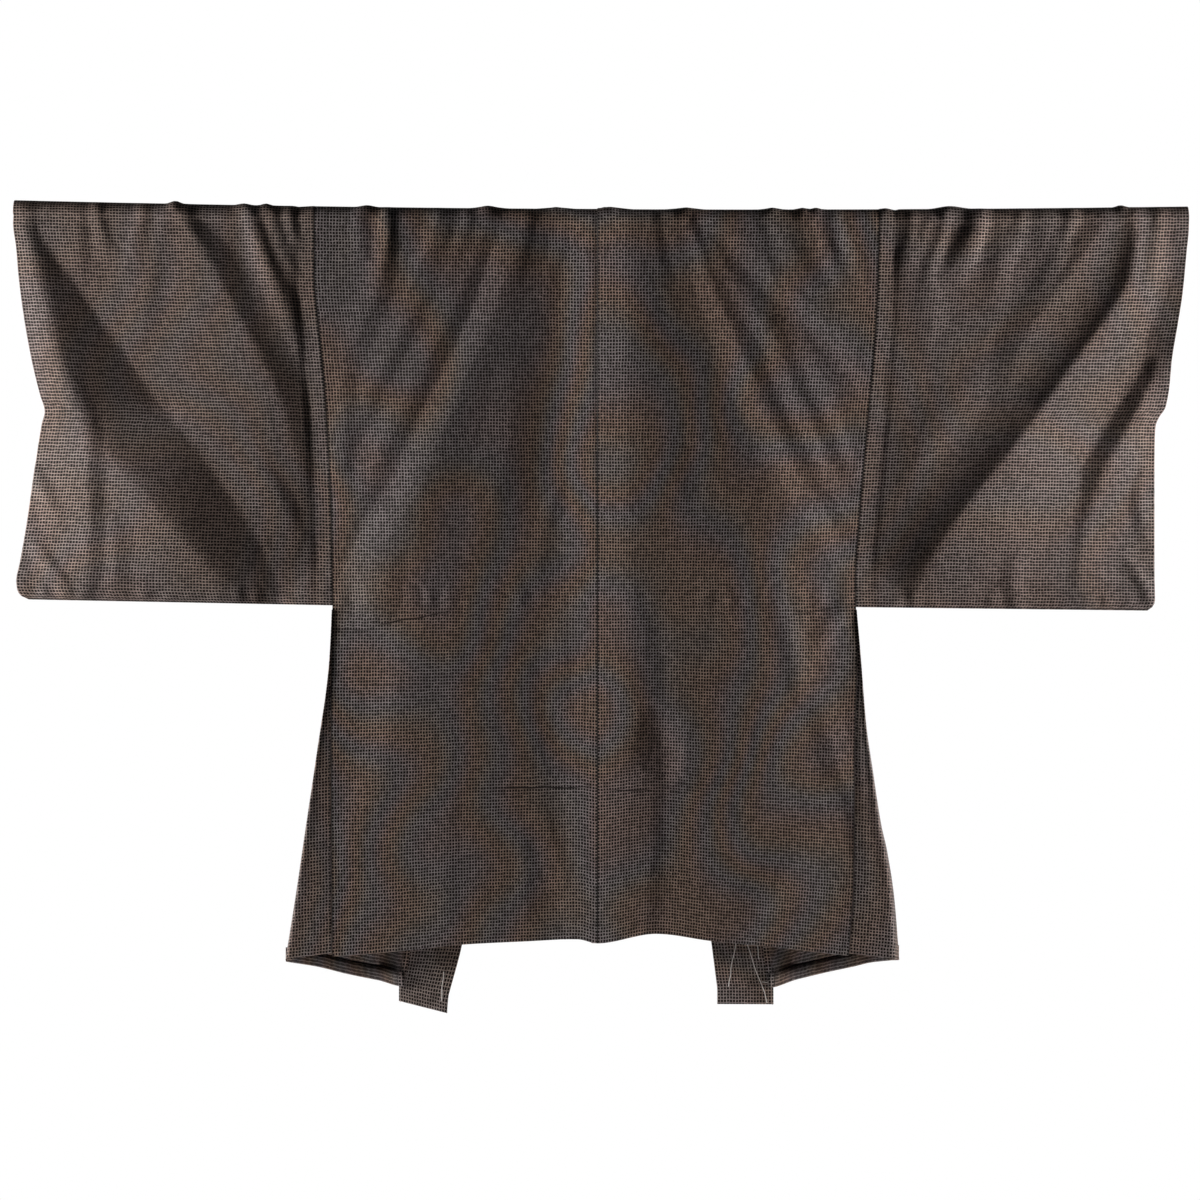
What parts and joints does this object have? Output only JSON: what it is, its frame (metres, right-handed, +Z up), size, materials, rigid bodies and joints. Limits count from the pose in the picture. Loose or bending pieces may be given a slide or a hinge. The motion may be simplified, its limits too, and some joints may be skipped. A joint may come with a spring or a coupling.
{
  "type": "haori jacket on a rod",
  "caption": "Haori jacket of dark checked silk, seen hung flat by its sleeves on a straight wooden rod, with open neck, cuffs and hem.",
  "frame": {"origin": "on the rod's axis at the middle of its length, which is where a bracket or hook holds the rod up", "axes": "+X along the rod towards the wearer's right sleeve, +Y towards the garment's front, +Z up"},
  "size_m": [1.3174, 0.0656, 0.917],
  "materials": {
    "silk": "dark brown silk with a very small pale woven check and a soft sheen",
    "wood": "plain satin wood"
  },
  "bodies": {
    "root": {"rod": "wood", "body_left": "silk", "body_right": "silk", "sleeve_left": "silk", "sleeve_right": "silk", "gusset_left": "silk", "gusset_right": "silk", "collar": "silk"}
  },
  "joints": []
}
